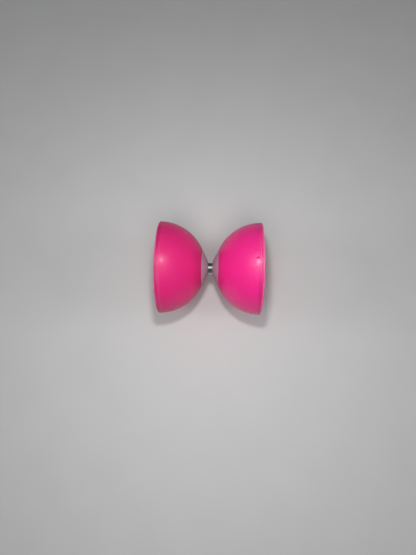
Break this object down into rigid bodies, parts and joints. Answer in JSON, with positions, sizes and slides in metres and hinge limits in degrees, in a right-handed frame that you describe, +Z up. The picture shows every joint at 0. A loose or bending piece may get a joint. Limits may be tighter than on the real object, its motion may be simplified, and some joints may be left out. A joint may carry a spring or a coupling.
{
  "type": "diabolo",
  "caption": "Two hemispherical soft cups back to back on a steel axle, with a free-spinning bearing sleeve between them for the string.",
  "frame": {"origin": "middle of the axle, halfway between the two rims", "axes": "+X along the axle towards the right cup, +Z up; the diabolo lies on its two rims with its lowest point at z = -62.5 mm"},
  "size_m": [0.137, 0.125, 0.125],
  "materials": {
    "cup_plastic": "satin",
    "hub_plastic": "satin",
    "sleeve_steel": "polished",
    "axle_steel": "satin",
    "zinc_steel": "satin",
    "bearing_steel": "polished",
    "nylon": "satin"
  },
  "bodies": {
    "cups_and_axle": {"left_cup": "cup_plastic", "left_hub": "hub_plastic", "left_backing_plate": "hub_plastic", "left_washer": "zinc_steel", "left_lock_nut": "zinc_steel", "left_nut_insert": "nylon", "left_thrust_washer": "zinc_steel", "right_cup": "cup_plastic", "right_hub": "hub_plastic", "right_backing_plate": "hub_plastic", "right_washer": "zinc_steel", "right_lock_nut": "zinc_steel", "right_nut_insert": "nylon", "right_thrust_washer": "zinc_steel", "axle_rod": "axle_steel", "clutch_race_tube": "bearing_steel", "left_bearing_inner_ring": "bearing_steel", "right_bearing_inner_ring": "bearing_steel"},
    "sleeve": {"string_sleeve": "sleeve_steel", "left_bearing_outer_ring": "bearing_steel", "right_bearing_outer_ring": "bearing_steel", "left_bearing_shields": "bearing_steel", "right_bearing_shields": "bearing_steel", "clutch_shell": "bearing_steel", "clutch_cage": "nylon", "clutch_rollers": "bearing_steel", "clutch_springs": "bearing_steel"},
    "left_ball_train": {"left_bearing_balls": "bearing_steel", "left_bearing_cage": "nylon"},
    "right_ball_train": {"right_bearing_balls": "bearing_steel", "right_bearing_cage": "nylon"}
  },
  "joints": [
    {"name": "sleeve_spin", "type": "hinge", "parent": "cups_and_axle", "child": "sleeve", "pos_m": [0, 0, 0], "axis": [1, 0, 0], "continuous": true},
    {"name": "left_ball_train_spin", "type": "hinge", "parent": "cups_and_axle", "child": "left_ball_train", "pos_m": [-0.00805, 0, 0], "axis": [1, 0, 0], "continuous": true},
    {"name": "right_ball_train_spin", "type": "hinge", "parent": "cups_and_axle", "child": "right_ball_train", "pos_m": [0.00805, 0, 0], "axis": [1, 0, 0], "continuous": true}
  ],
  "couplings": [
    {"joint": "left_ball_train_spin", "follows": "sleeve_spin", "ratio": 0.56},
    {"joint": "right_ball_train_spin", "follows": "sleeve_spin", "ratio": 0.56}
  ]
}
